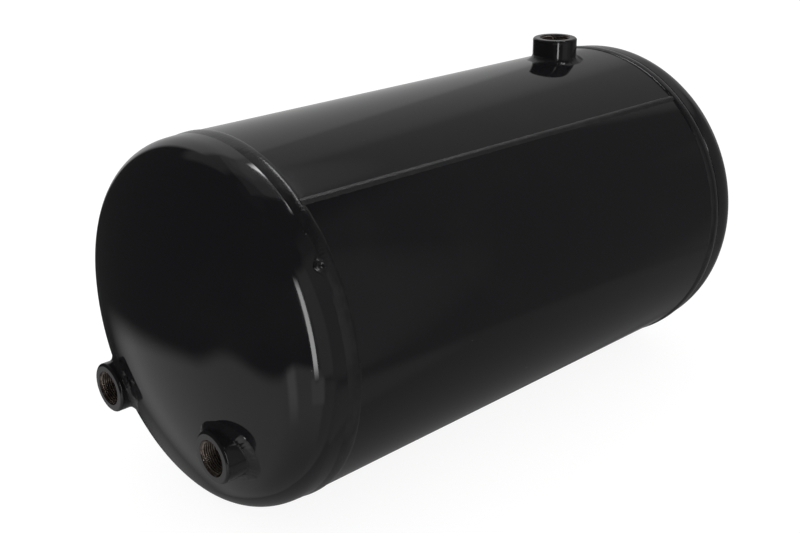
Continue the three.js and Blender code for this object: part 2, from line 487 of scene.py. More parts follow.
def grid_mesh(name: str, rows: list[list[Vector]], close_rows: bool, close_columns: bool) -> bpy.types.Mesh:
    """A mesh of quads through a grid of points, with its normals outward.

    Args:
        name: the mesh's name.
        rows: the points; a row with a single point is a pole.
        close_rows: whether the last row joins the first.
        close_columns: whether the last point of a row joins its first.

    Returns:
        The mesh.
    """
    work = bmesh.new()
    made = [[work.verts.new(point) for point in row] for row in rows]
    columns = max(len(row) for row in rows)
    pairs = list(zip(made, made[1:])) + ([(made[-1], made[0])] if close_rows else [])
    for first, second in pairs:
        for j in range(columns if close_columns else columns - 1):
            k = (j + 1) % columns
            around = (first, j), (first, k), (second, k), (second, j)
            corners = list(dict.fromkeys(row[place % len(row)] for row, place in around))
            if len(corners) > 2:
                work.faces.new(corners)
    bmesh.ops.recalc_face_normals(work, faces=work.faces)
    mesh = bpy.data.meshes.new(name)
    work.to_mesh(mesh)
    work.free()
    mesh.shade_smooth()
    mesh.set_sharp_from_angle(angle=SHARP_ANGLE)
    return mesh


def turned_rows(profile: Profile, steps: int, place: Place) -> list[list[Vector]]:
    """Rows of points round an axis, one for each point of a profile.

    Args:
        profile: (radius, height) points.
        steps: points in a full turn.
        place: turns radius, height and angle into a point.

    Returns:
        The rows, with one point only where the radius is 0.
    """
    return [
        [place(radius, height, math.tau * j / steps) for j in range(steps if radius > 1e-9 else 1)]
        for radius, height in profile
    ]


def displaced(mesh: bpy.types.Mesh, height: Callable[[Vector], float]) -> None:
    """Move each point of a mesh along its normal by a height that depends on its place."""
    moves = [normal.vector * height(vertex.co) for vertex, normal in zip(mesh.vertices, mesh.vertex_normals)]
    for vertex, move in zip(mesh.vertices, moves):
        vertex.co += move
    mesh.update()


def with_numbers(mesh: bpy.types.Mesh, **numbers: Iterable[float]) -> None:
    """Store named numbers, one for each point of a mesh."""
    for name, values in numbers.items():
        mesh.attributes.new(name, "FLOAT", "POINT").data.foreach_set("value", list(values))


def with_sideways(mesh: bpy.types.Mesh, numbers: list[float]) -> None:
    """Store the unit vector across a weld bead, three numbers for each point of its mesh."""
    mesh.attributes.new("sideways", "FLOAT_VECTOR", "POINT").data.foreach_set("vector", numbers)


def linked(mesh: bpy.types.Mesh, name: str) -> bpy.types.Object:
    """An object for a mesh, in the scene."""
    made = bpy.data.objects.new(name, mesh)
    bpy.context.scene.collection.objects.link(made)
    return made


def settled(source: bpy.types.Object) -> bpy.types.Object:
    """The same object with its modifiers worked into a plain mesh."""
    bpy.context.view_layer.update()
    evaluated = source.evaluated_get(bpy.context.evaluated_depsgraph_get())
    mesh = bpy.data.meshes.new_from_object(evaluated)
    source.modifiers.clear()
    source.data = mesh
    return source


def pierced(target: bpy.types.Object, cutter: bpy.types.Object) -> None:
    """Cut one closed object out of another, and remove the cutter."""
    modifier = target.modifiers.new("hole", "BOOLEAN")
    modifier.operation = "DIFFERENCE"
    modifier.solver = "EXACT"
    modifier.object = cutter
    settled(target)
    bpy.data.objects.remove(cutter)


def published(piece: bpy.types.Object, finish: bpy.types.Material, node: str) -> bpy.types.Object:
    """Dress a piece and tie it to the frame.

    Args:
        piece: the finished object, at the origin.
        finish: its material.
        node: the CAD node that it stands for.

    Returns:
        The piece.
    """
    piece.data.materials.clear()
    piece.data.materials.append(finish)
    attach(piece, BODY)
    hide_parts(node)
    log.info("%s stands for %s: %d faces", piece.name, node, len(piece.data.polygons))
    return piece


# ---------- Geometry Nodes trees ----------


class NodeTool:
    """A Geometry Nodes tree with named inputs, run on an object as a modifier."""

    def __init__(self, name: str, inputs: dict[str, str]) -> None:
        """Start a tree.

        Args:
            name: the tree's name.
            inputs: the inputs' names and socket types, after the geometry.
        """
        self.tree = bpy.data.node_groups.new(name, "GeometryNodeTree")
        self.graph = Graph(self.tree)
        self.sockets: dict[str, str] = {}
        self.tree.interface.new_socket("Geometry", in_out="INPUT", socket_type="NodeSocketGeometry")
        for label, kind in inputs.items():
            socket = self.tree.interface.new_socket(label, in_out="INPUT", socket_type=kind)
            self.sockets[label] = socket.identifier
        self.tree.interface.new_socket("Geometry", in_out="OUTPUT", socket_type="NodeSocketGeometry")
        self.inputs = self.graph.add("NodeGroupInput")

    def attribute(self, name: str, kind: str = "FLOAT") -> Built:
        """Read an attribute of the mesh by its name."""
        return self.graph.add("GeometryNodeInputNamedAttribute", {"data_type": kind}, {"Name": name})

    def finish(self, geometry: Signal) -> None:
        """End the tree in Realize Instances and Set Material."""
        real = self.graph.add("GeometryNodeRealizeInstances", None, {"Geometry": geometry})
        dressed = self.graph.add("GeometryNodeSetMaterial", None, {
            "Geometry": real["Geometry"], "Material": self.inputs["Material"]})
        self.graph.add("NodeGroupOutput", None, {"Geometry": dressed["Geometry"]})

    def apply(self, target: bpy.types.Object, values: dict[str, Any]) -> bpy.types.Object:
        """Run the tree on an object and keep the plain mesh.

        Args:
            target: the object.
            values: the inputs' values by their names.

        Returns:
            The object, without the modifier.
        """
        modifier = target.modifiers.new(self.tree.name, "NODES")
        modifier.node_group = self.tree
        for label, value in values.items():
            modifier[self.sockets[label]] = value
        return settled(target)


@dataclass(frozen=True)
class RippleSizes:
    """Sizes of a weld bead's scales, slow bumps and uneven edges, in metres."""

    spacing: float
    height: float
    lag: float
    bump_size: float
    bump_height: float
    edge_step: float
    edge_wander: float

    def inputs(self) -> dict[str, float]:
        """The sizes under the names of the ripple tool's inputs."""
        return {
            "Ripple Spacing": self.spacing, "Ripple Height": self.height, "Ripple Lag": self.lag,
            "Bump Size": self.bump_size, "Bump Height": self.bump_height,
            "Edge Step": self.edge_step, "Edge Wander": self.edge_wander}


class RippleTool(NodeTool):
    """Lays the scales of a weld bead over a smooth bead.

    The mesh carries three attributes: run (metres along the bead), span (-1 to 1 across it) and
    sideways (the unit vector across it).
    """

    def __init__(self) -> None:
        """Build the tree."""
        super().__init__("weld_ripples", {
            "Ripple Spacing": "NodeSocketFloat", "Ripple Height": "NodeSocketFloat",
            "Ripple Lag": "NodeSocketFloat", "Bump Size": "NodeSocketFloat",
            "Bump Height": "NodeSocketFloat", "Edge Step": "NodeSocketFloat",
            "Edge Wander": "NodeSocketFloat", "Seed": "NodeSocketFloat",
            "Material": "NodeSocketMaterial"})
        graph, given = self.graph, self.inputs
        run = self.attribute("run")[0]
        span = self.attribute("span")[0]
        sideways = self.attribute("sideways", "FLOAT_VECTOR").vector(0)
        where = graph.add("GeometryNodeInputPosition").vector("Position")
        normal = graph.add("GeometryNodeInputNormal").vector("Normal")

        crown = (1 - span * span).most(0.0)
        drift = self._wave(run, given["Ripple Spacing"] * 4.0, given["Seed"])
        phase = (run + given["Ripple Lag"] * span * span) / given["Ripple Spacing"] + drift * 0.7
        scales = abs(run.math("SINE", phase * math.pi)) - 0.6
        bumps = self._wave(where, given["Bump Size"], given["Seed"] + 3.0)
        lift = scales * given["Ripple Height"] * crown + bumps * given["Bump Height"] * (crown + 0.15)

        side = span.math("SIGN", span)
        wander = self._wave(run, given["Edge Step"], given["Seed"] + 11.0 + side * 5.0)
        shift = wander * given["Edge Wander"] * span * span * side
        offset = normal.scaled(lift) + sideways.scaled(shift)
        moved = graph.add("GeometryNodeSetPosition", None, {"Geometry": given["Geometry"], "Offset": offset})
        self.finish(moved["Geometry"])

    def _wave(self, where: Signal, size: Signal, seed: Value) -> Signal:
        """Noise on a position or on a single number, centred on 0.

        Args:
            where: a vector, or a number that is used as one.
            size: distance between features.
            seed: picks the pattern.

        Returns:
            A number from about -1 to 1.
        """
        sockets = {"Vector": where, "W": seed, "Scale": size ** -1.0, "Detail": 1.0}
        made = self.graph.add("ShaderNodeTexNoise", {"noise_dimensions": "4D"}, sockets)
        return (made[0] - 0.5) * 2.0


class ThreadTool(NodeTool):
    """Cuts a tapped thread into a bore along Z.

    The mesh carries the number tapped, which is 1 on the bore and its mouth.
    """

    def __init__(self) -> None:
        """Build the tree."""
        super().__init__("tapped_thread", {
            "Minor Radius": "NodeSocketFloat", "Depth": "NodeSocketFloat", "Pitch": "NodeSocketFloat",
            "Length": "NodeSocketFloat", "Run Out": "NodeSocketFloat", "Material": "NodeSocketMaterial"})
        graph, given = self.graph, self.inputs
        tapped = self.attribute("tapped")[0]
        where = graph.add("GeometryNodeInputPosition").vector("Position")
        x, y, z = where.parts()
        turn = x.math("ARCTAN2", y, x) / math.tau
        phase = x.math("FRACT", z / given["Pitch"] + turn)
        flank = ((abs(phase - 0.5) * 2.0 - 0.16) / 0.68).most(0.0).least(1.0)
        fade = (-z).ramp(given["Length"] + given["Run Out"], given["Length"])
        wanted = given["Minor Radius"] + given["Depth"] * flank * fade
        radius = (x * x + y * y) ** 0.5
        factor = (wanted.most(radius) / radius - 1) * tapped
        offset = (where * (1.0, 1.0, 0.0)).scaled(factor)
        moved = graph.add("GeometryNodeSetPosition", None, {"Geometry": given["Geometry"], "Offset": offset})
        self.finish(moved["Geometry"])


# ---------- the vessel ----------


@dataclass(frozen=True)
class VesselShape:
    """Outer shape of the vessel, read from the frame."""

    radius: float
    toe: float
    girth_width: float
    apex: float
    seam_angle: float
    knuckle: float = 0.032

    @classmethod
    def from_frame(cls) -> "VesselShape":
        """Read the sizes from the CAD nodes' boxes."""
        girth_low, girth_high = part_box("rear_girth_weld")
        seam_low, seam_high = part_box("longitudinal_seam_weld")
        seam = (seam_low + seam_high) / 2
        return cls(
            radius=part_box("shell")[1].x,
            toe=girth_low.y - FIT_GAP,
            girth_width=girth_high.y - girth_low.y + 2 * FIT_GAP,
            apex=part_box("rear_head")[1].y,
            seam_angle=math.atan2(seam.z, seam.x))

    @property
    def crown(self) -> float:
        """Radius of the dish's shallow middle, which is the shell's diameter."""
        return 2 * self.radius

    @property
    def half_angle(self) -> float:
        """Angle from the tank axis at which the crown meets the knuckle."""
        return math.asin((self.radius - self.knuckle) / (self.crown - self.knuckle))

    @property
    def crown_centre(self) -> float:
        """Distance of the crown's centre from mid length."""
        return self.apex - self.crown

    @property
    def knuckle_start(self) -> float:
        """Distance from mid length at which the straight skirt turns into the knuckle."""
        return self.crown_centre + (self.crown - self.knuckle) * math.cos(self.half_angle)

    def dish_height(self, radius: float) -> float:
        """Distance from mid length to the dish's outside, on its crown, at a radius from the axis."""
        return self.crown_centre + math.sqrt(self.crown ** 2 - radius ** 2)


def about_z(radius: float, height: float, angle: float) -> Vector:
    """A point of a shape turned about Z."""
    return Vector((radius * math.cos(angle), radius * math.sin(angle), height))


def around_y(radius: float, height: float, angle: float) -> Vector:
    """A point of a shape turned about the tank axis; the angle runs from +X towards +Z."""
    return Vector((radius * math.cos(angle), height, radius * math.sin(angle)))


@dataclass
class Shell:
    """The rolled shell, a little peaked along its seam and a little uneven, as rolled sheet is."""

    shape: VesselShape
    finish: bpy.types.Material
    wall: float = 0.0025
    bevel: float = 0.0022
    peak_angle: float = math.radians(1.8)
    peak_reach: float = 0.024
    seam_lean: float = math.radians(1.3)
    rows: int = 110
    columns: int = 420
    unevenness: float = 0.00005
    unevenness_size: float = 0.070

    def build(self, port: "Port") -> bpy.types.Object:
        """Make the shell with the hole for the top port.

        Args:
            port: the port that passes through the shell.

        Returns:
            The finished piece.
        """
        inner = self.shape.radius - self.wall
        toe = self.shape.toe
        outside = run_between((self.shape.radius, toe), (self.shape.radius, -toe), self.rows)
        profile = [*outside, (self.shape.radius, -toe), (inner, -toe - self.bevel),
                   *run_between((inner, -toe), (inner, toe), 12), (inner, toe + self.bevel)]
        turns = [self._column(j) for j in range(self.columns)]
        rows = [[around_y(r, y, self.seam_at(y) + turn) for turn in turns] for r, y in profile]
        mesh = grid_mesh("shell_painted", rows, close_rows=True, close_columns=True)
        displaced(mesh, self._height)
        piece = linked(mesh, "shell_painted")
        pierced(piece, port.hole_cutter())
        return published(piece, self.finish, "shell")

    def seam_at(self, y: float) -> float:
        """Angle of the seam at a place along the tank."""
        return self.shape.seam_angle - self.seam_lean * y / (2 * self.shape.toe)

    def _column(self, index: int) -> float:
        """Angle of a column from the seam; the columns are closer together near it."""
        t = 2 * index / self.columns - 1
        return math.pi * (0.3 * t + 0.7 * t ** 3)

    def _height(self, point: Vector) -> float:
        """How far the sheet stands off a true cylinder at a point."""
        turn = math.atan2(point.z, point.x) - self.seam_at(point.y)
        turn = (turn + math.pi) % math.tau - math.pi
        away = min(abs(turn) * self.shape.radius / self.peak_reach, 1.0)
        peak = self.peak_angle * self.peak_reach / 3 * (1 - away) ** 3
        return peak + self.unevenness * noise.noise(point / self.unevenness_size)


@dataclass
class DishedHead:
    """A pressed head: joggled tongue, straight skirt, knuckle and shallow crown."""

    shape: VesselShape
    finish: bpy.types.Material
    end: End
    wall: float = 0.003
    tongue_reach: float = 0.014
    tongue_drop: float = 0.0028
    joggle_run: float = 0.003
    steps: int = 288
    unevenness: float = 0.00006
    unevenness_size: float = 0.045
    skirt_wave: float = 0.00002
    skirt_lean: float = math.radians(1.3)
    skirt_bow: float = math.radians(400.0)

    def build(self, ports: Sequence["Port"]) -> bpy.types.Object:
        """Make the head with the holes for its ports.

        Args:
            ports: the ports that pass through this head.

        Returns:
            The finished piece.
        """
        name = f"{self.end.name.lower()}_head"
        rows = turned_rows(self._profile(), self.steps, self._place)
        mesh = grid_mesh(f"{name}_painted", rows, close_rows=False, close_columns=True)
        displaced(mesh, self._height)
        piece = linked(mesh, f"{name}_painted")
        for port in ports:
            pierced(piece, port.hole_cutter())
        return published(piece, self.finish, name)

    def _place(self, radius: float, height: float, angle: float) -> Vector:
        """A point of the head at this end of the tank."""
        return around_y(radius, height * self.end.value, angle)

    def _profile(self) -> Profile:
        """The head's section from its apex outside, round the tongue, to its apex inside."""
        shape = self.shape
        shoulder = shape.toe + shape.girth_width
        tongue = shape.radius - self.tongue_drop
        outside = self._dish(0.0, 34, 22)
        outside += run_between((shape.radius, shape.knuckle_start), (shape.radius, shoulder), 6)[1:]
        outside += [(shape.radius, shoulder), (tongue, shoulder - self.joggle_run),
                    (tongue, shape.toe - self.tongue_reach)]
        inside = [(tongue - self.wall, shape.toe - self.tongue_reach),
                  (tongue - self.wall, shoulder - self.joggle_run), (shape.radius - self.wall, shoulder)]
        return outside + inside + self._dish(self.wall, 14, 8)[::-1]

    def _dish(self, inset: float, crown_steps: int, knuckle_steps: int) -> Profile:
        """The crown and knuckle from the axis outward, inset by a wall thickness."""
        shape = self.shape
        meet = math.pi / 2 - shape.half_angle
        crown = arc((0.0, shape.crown_centre), shape.crown - inset, math.pi / 2, meet, crown_steps)
        knuckle = arc((shape.radius - shape.knuckle, shape.knuckle_start), shape.knuckle - inset,
                      meet, 0.0, knuckle_steps)
        return [(0.0, crown[0][1]), *crown[1:], *knuckle[1:]]

    def _height(self, point: Vector) -> float:
        """How far the pressing stands off its true shape at a point."""
        radius = math.hypot(point.x, point.z)
        edge = max(0.0, (radius / self.shape.radius - 0.7) / 0.3)
        turn = math.atan2(point.z, point.x)
        wave = self.skirt_wave * edge * (math.sin(9 * turn + 1.0) + 0.6 * math.sin(17 * turn + 2.2))
        rough = self.unevenness * noise.noise(point / self.unevenness_size + Vector((7.1, 3.3, 0.4)))
        return wave + rough - self._draw_in(abs(point.y), radius)

    def _draw_in(self, height: float, radius: float) -> float:
        """How far the skirt is drawn in on its way from the weld to the knuckle.

        Args:
            height: distance from mid length.
            radius: distance from the tank axis.

        Returns:
            The drop, which fades away again towards the middle of the head.
        """
        away = height - self.shape.toe - self.shape.girth_width
        if away <= 0 or radius < self.shape.radius * 0.5:
            return 0.0
        reach = self.shape.knuckle_start - self.shape.toe - self.shape.girth_width
        near = min(away, reach)
        drop = self.skirt_lean * near + self.skirt_bow * near ** 2 / 2
        past = max(0.0, away - reach)
        lean = self.skirt_lean + self.skirt_bow * reach
        drop += lean * min(past, 0.002) * (1 - min(past, 0.002) / 0.004)
        fade = max(0.0, min(1.0, (radius / self.shape.radius - 0.5) / 0.45))
        return drop * fade * fade * (3 - 2 * fade)


@dataclass
class GirthBead:
    """The weld bead that joins a head to the shell, with its stop crater on the front one."""

    shape: VesselShape
    finish: bpy.types.Material
    ripples: RippleTool
    end: End
    crown: float = 0.0011
    skew: float = 0.8
    overlap: float = 0.0012
    sink: float = 0.0004
    across: int = 30
    along: int = 1500
    sizes: RippleSizes = RippleSizes(0.0024, 0.00004, 0.0022, 0.011, 0.00010, 0.009, 0.0006)
    crater_turn: float = math.radians(33.9)
    crater_outset: float = 0.0002
    crater_radius: float = 0.0024
    crater_rim: float = 0.0012
    crater_rim_share: float = 0.42
    crater_bulge: float = 0.0040
    bulge_reach: float = 0.0045
    bulge_limit: float = 0.02
    root_share: float = 0.9

    def build(self) -> bpy.types.Object:
        """Make the bead."""
        name = f"{self.end.name.lower()}_girth"
        half = self.shape.girth_width / 2
        middle = self.shape.toe + half
        spans = [-1 + 2 * i / self.across for i in range(self.across + 1)]
        profile = [
            (self.shape.radius + self._lift(s), middle + half * 1.04 * s - self.overlap * (1 - s) ** 2 / 4)
            for s in spans]
        root = self.shape.radius - self.sink * 2
        under = [(root, middle + half * self.root_share), (root, middle - half * self.root_share)]
        rows = turned_rows([*profile, *under], self.along, self._place)
        mesh = grid_mesh(f"{name}_bead", rows, close_rows=True, close_columns=True)
        turns = [math.tau * j / self.along for _ in (*profile, *under) for j in range(self.along)]
        across = [s for s in (*spans, 1.0, -1.0) for _ in range(self.along)]
        with_numbers(mesh, run=[t * self.shape.radius for t in turns], span=across)
        with_sideways(mesh, [0.0, float(self.end.value), 0.0] * len(mesh.vertices))
        if self.end is End.FRONT:
            self._widen(mesh)
            displaced(mesh, self._crater)
        piece = linked(mesh, f"{name}_bead")
        self.ripples.apply(piece, {
            **self.sizes.inputs(), "Seed": 2.0 + self.end.value, "Material": self.finish})
        return published(piece, self.finish, f"{name}_weld")

    def _place(self, radius: float, height: float, angle: float) -> Vector:
        """A point of the bead at this end of the tank."""
        return around_y(radius, height * self.end.value, angle)

    def _lift(self, span: float) -> float:
        """Height of the bead over the shell: steepest at the toe on the shell."""
        place = ((span + 1) / 2) ** self.skew
        return (self.crown + self.sink) * (1 - (2 * place - 1) ** 2) - self.sink

    def _widen(self, mesh: bpy.types.Mesh) -> None:
        """Let the bead run out onto the head where the weld stops, and lift its edge to the surface there."""
        middle = self.shape.toe + self.shape.girth_width / 2
        for vertex in mesh.vertices:
            point = vertex.co
            arc_length = (math.atan2(point.z, point.x) - self.crater_turn) * self.shape.radius
            span = (abs(point.y) - middle) / (self.shape.girth_width / 2)
            if span > 0 and abs(arc_length) < self.bulge_limit:
                near = math.exp(-(arc_length / self.bulge_reach) ** 2)
                point.y += self.end.value * self.crater_bulge * near * span ** 2
                spread = self.shape.radius + self.sink * near * (1 - (1 - span) ** 2)
                reach = math.hypot(point.x, point.z)
                if self.shape.radius - self.sink * 1.5 < reach < spread:
                    point.x, point.z = point.x * spread / reach, point.z * spread / reach

    def _crater(self, point: Vector) -> float:
        """Height of the stop crater's raised rim."""
        turn = math.atan2(point.z, point.x) - self.crater_turn
        toe = self.shape.toe + self.shape.girth_width + self.crater_outset
        away = math.hypot(turn * self.shape.radius, abs(point.y) - toe) / self.crater_radius
        return self.crater_rim * math.exp(-((away - 1.0) / self.crater_rim_share) ** 2)


@dataclass
class SeamBead:
    """The narrow bead along the shell's rolled joint."""

    shape: VesselShape
    shell: Shell
    finish: bpy.types.Material
    ripples: RippleTool
    half_width: float = 0.0029
    crown: float = 0.0010
    sink: float = 0.0004
    overrun: float = 0.0012
    across: int = 10
    along: int = 900
    sizes: RippleSizes = RippleSizes(0.0019, 0.00018, 0.0012, 0.009, 0.00014, 0.008, 0.00045)

    def build(self) -> bpy.types.Object:
        """Make the bead."""
        reach = self.shape.toe + self.overrun
        spans = [-1 + 2 * i / self.across for i in range(self.across + 1)]
        top = self.shape.radius + self.shell.peak_angle * self.shell.peak_reach / 3
        section = [(top + (self.crown + self.sink) * (1 - abs(s) ** 2.2) - self.sink, s) for s in spans]
        section += [(top - self.sink * 3, 0.8), (top - self.sink * 3, -0.8)]
        places = [-reach + 2 * reach * j / self.along for j in range(self.along + 1)]
        rows = [[around_y(r, y, self.shell.seam_at(y) + s * self.half_width / r) for y in places]
                for r, s in section]
        mesh = grid_mesh("longitudinal_bead", rows, close_rows=True, close_columns=False)
        self._cap_ends(mesh)
        count = len(places)
        with_numbers(mesh, run=[y + reach for _ in section for y in places],
                     span=[max(-1.0, min(1.0, s)) for _, s in section for _ in range(count)])
        angle = self.shape.seam_angle
        with_sideways(mesh, [-math.sin(angle), 0.0, math.cos(angle)] * len(mesh.vertices))
        piece = linked(mesh, "longitudinal_bead")
        self.ripples.apply(piece, {**self.sizes.inputs(), "Seed": 6.0, "Material": self.finish})
        return published(piece, self.finish, "longitudinal_seam_weld")

    @staticmethod
    def _cap_ends(mesh: bpy.types.Mesh) -> None:
        """Close both ends of the bar."""
        work = bmesh.new()
        work.from_mesh(mesh)
        bmesh.ops.holes_fill(work, edges=work.edges, sides=0)
        bmesh.ops.recalc_face_normals(work, faces=work.faces)
        work.to_mesh(mesh)
        work.free()
        mesh.set_sharp_from_angle(angle=SHARP_ANGLE)


# ---------- the ports ----------


@dataclass
class Port:
    """A tapped boss and the fillet weld round it.

    Both are modelled with the port face at the origin and the body along -Z, then put in place.
    """

    node: str
    facing: Facing
    shape: VesselShape
    finish: bpy.types.Material
    weld_finish: bpy.types.Material
    ripples: RippleTool
    threads: ThreadTool
    seed: float
    chamfer: float = 0.0011
    edge_round: float = 0.00055
    minor_radius: float = 0.01019
    thread_depth: float = 0.00081
    pitch: float = 0.0015
    thread_length: float = 0.0145
    thread_rows: int = 118
    mouth_radius: float = 0.0115
    inner_edge_reach: float = 0.0004
    mouth_start: float = 0.0001
    cutter_above: float = 0.001
    cutter_below: float = 0.004
    flare: float = 0.00007
    flare_run: float = 0.0012
    fillet_spread: float = 0.0063
    fillet_rise: float = 0.0036
    fillet_overlap: float = 0.0003
    swell_turn: float = math.radians(52.0)
    swell_height: float = 0.0012
    swell_size: float = 0.0044
    lip: float = 0.055
    hollow: float = 0.55
    steps: int = 128
    fillet_steps: int = 420
    fillet_across: int = 34
    sizes: RippleSizes = RippleSizes(0.0034, 0.00008, 0.0016, 0.009, 0.00035, 0.006, 0.0011)

    def __post_init__(self) -> None:
        """Read the boss's radius, length and place from the frame."""
        low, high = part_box(self.node)
        middle = (low + high) / 2
        size = high - low
        self.radius = size.x / 2
        if self.facing is Facing.UP:
            self.length = size.z
            self.face = Vector((middle.x, middle.y, high.z))
        else:
            self.length = size.y
            self.face = Vector((middle.x, low.y, middle.z))

    @property
    def turn(self) -> Matrix:
        """Rotation that takes the model's +Z to the way the port looks."""
        return Matrix.Identity(4) if self.facing is Facing.UP else Matrix.Rotation(math.pi / 2, 4, "X")

    def placed(self, piece: bpy.types.Object) -> bpy.types.Object:
        """Put a piece in place by moving its mesh."""
        piece.data.transform(Matrix.Translation(self.face) @ self.turn)
        return piece

    def hole_cutter(self) -> bpy.types.Object:
        """A closed round bar that cuts the hole for the boss."""
        radius = self.radius + FIT_GAP
        top, bottom = self.cutter_above, -self.length - self.cutter_below
        profile = [(0.0, top), (radius, top), (radius, bottom), (0.0, bottom)]
        rows = turned_rows(profile, self.steps, about_z)
        mesh = grid_mesh(f"{self.node}_hole", rows, close_rows=False, close_columns=True)
        return self.placed(linked(mesh, f"{self.node}_hole"))

    def build(self) -> list[bpy.types.Object]:
        """Make the boss and its weld."""
        return [self._boss(), self._fillet()]

    def _boss(self) -> bpy.types.Object:
        """Turned boss with chamfered edges and a tapped bore."""
        cut, mouth = self.chamfer, self.mouth_radius - self.minor_radius
        outside = softened([
            (self.minor_radius + self.inner_edge_reach, -self.length), (self.radius - cut, -self.length),
            (self.radius, -self.length + cut), (self.radius, -cut - self.flare_run),
            (self.radius + self.flare, -cut), (self.radius - cut, 0.0), (self.mouth_radius, 0.0)],
            self.edge_round)
        first, last = outside[0], outside[-1]
        mouth_end = (self.minor_radius, -mouth)
        thread_end = (self.minor_radius, -self.thread_length - 2 * self.pitch)
        bore = run_between((self.mouth_radius, -self.mouth_start), mouth_end, 7)
        bore += run_between(mouth_end, thread_end, self.thread_rows)
        bore += run_between(thread_end, (self.minor_radius, first[1]), 6)
        outside.remove(last)
        profile = [*outside, *bore]
        rows = turned_rows(profile, self.steps, about_z)
        mesh = grid_mesh(f"{self.node}_body", rows, close_rows=True, close_columns=True)
        inside = [0.0] * len(outside) + [1.0] * len(bore)
        with_numbers(mesh, tapped=[value for value in inside for _ in range(self.steps)])
        piece = linked(mesh, f"{self.node}_body")
        self.threads.apply(piece, {
            "Minor Radius": self.minor_radius, "Depth": self.thread_depth, "Pitch": self.pitch,
            "Length": self.thread_length, "Run Out": self.pitch * 1.5, "Material": self.finish})
        vertices = piece.data.vertices
        with_numbers(
            piece.data,
            bare=[value for value in inside for _ in range(self.steps)],
            along=[-v.co.z for v in vertices],
            reach=[v.co.xy.length for v in vertices])
        return published(self.placed(piece), self.finish, self.node)

    def _wall(self, u: float, v: float) -> float:
        """Height of the vessel's outside over the port face at a sideways offset."""
        if self.facing is Facing.UP:
            return math.sqrt(self.shape.radius ** 2 - u ** 2) - self.face.z
        radius = math.hypot(self.face.x + u, self.face.z + v)
        return self.shape.dish_height(radius) + self.face.y

    def _fillet(self) -> bpy.types.Object:
        """Concave fillet weld with scales and a ragged toe."""
        steps, across = self.fillet_steps, self.fillet_across
        start = self.radius - self.fillet_overlap
        rows, runs, spans, sideways = [], [], [], []
        section = [self._cove(i / across) for i in range(across + 1)]
        section += [(0.6, -0.25, 0.6), (0.05, -0.25, -0.6)]
        for out, up, span in section:
            row = []
            for j in range(steps):
                angle = math.tau * j / steps
                radius = start + self.fillet_spread * out
                u, v = radius * math.cos(angle), radius * math.sin(angle)
                rise = self.fillet_rise * up + self._swell(angle, out, up)
                row.append(Vector((u, v, self._wall(u, v) + rise)))
                runs.append(angle * (self.radius + 0.003))
                spans.append(span)
                sideways.extend(self._outward(angle, radius))
            rows.append(row)
        mesh = grid_mesh(f"{self.node}_fillet", rows, close_rows=True, close_columns=True)
        with_numbers(mesh, run=runs, span=spans)
        with_sideways(mesh, sideways)
        piece = linked(mesh, f"{self.node}_fillet")
        self.ripples.apply(piece, {
            **self.sizes.inputs(), "Seed": self.seed, "Material": self.weld_finish})
        return published(self.placed(piece), self.weld_finish, f"{self.node}_weld")

    def _cove(self, t: float) -> tuple[float, float, float]:
        """A point of the fillet's face, from the boss wall at 0 to the toe at 1.

        Args:
            t: place across the weld.

        Returns:
            Share of the spread, share of the rise, and span.
        """
        turn = t * math.pi / 2
        lip = self.lip * math.exp(-((t - 0.09) / 0.05) ** 2)
        out = self.hollow * (1 - math.cos(turn)) + (1 - self.hollow) * t + lip
        up = self.hollow * (1 - math.sin(turn)) + (1 - self.hollow) * (1 - t)
        return out, up * 1.12 - 0.12, 2 * t - 1

    def _swell(self, angle: float, out: float, up: float) -> float:
        """Height of the swelling where the weld's end overlaps its start.

        Args:
            angle: place round the port.
            out: share of the weld's spread.
            up: share of its rise, negative on its underside.

        Returns:
            The extra height.
        """
        if up < -0.1:
            return 0.0
        turn = (angle - self.swell_turn + math.pi) % math.tau - math.pi
        away = math.hypot(turn * (self.radius + 0.003), (out - 0.62) * self.fillet_spread)
        return self.swell_height * math.exp(-(away / self.swell_size) ** 2)

    def _outward(self, angle: float, radius: float) -> tuple[float, float, float]:
        """Unit vector away from the port's axis, along the vessel's outside."""
        u, v = math.cos(angle), math.sin(angle)
        step = 0.001
        rise = self._wall(u * (radius + step), v * (radius + step)) - self._wall(u * radius, v * radius)
        return tuple(Vector((u, v, rise / step)).normalized())


# ---------- the studio ----------


@dataclass(frozen=True)
class SoftPanel:
    """A patch of light on the tent, by direction seen from the tank, in degrees.

    Azimuth 0 is -Y and 90 is +X. lean turns the patch's sides with height.
    """

    azimuth: float
    half_width: float
    low: float
    high: float
    side_blur: float
    end_blur: float
    radiance: float
    lean: float = 0.0


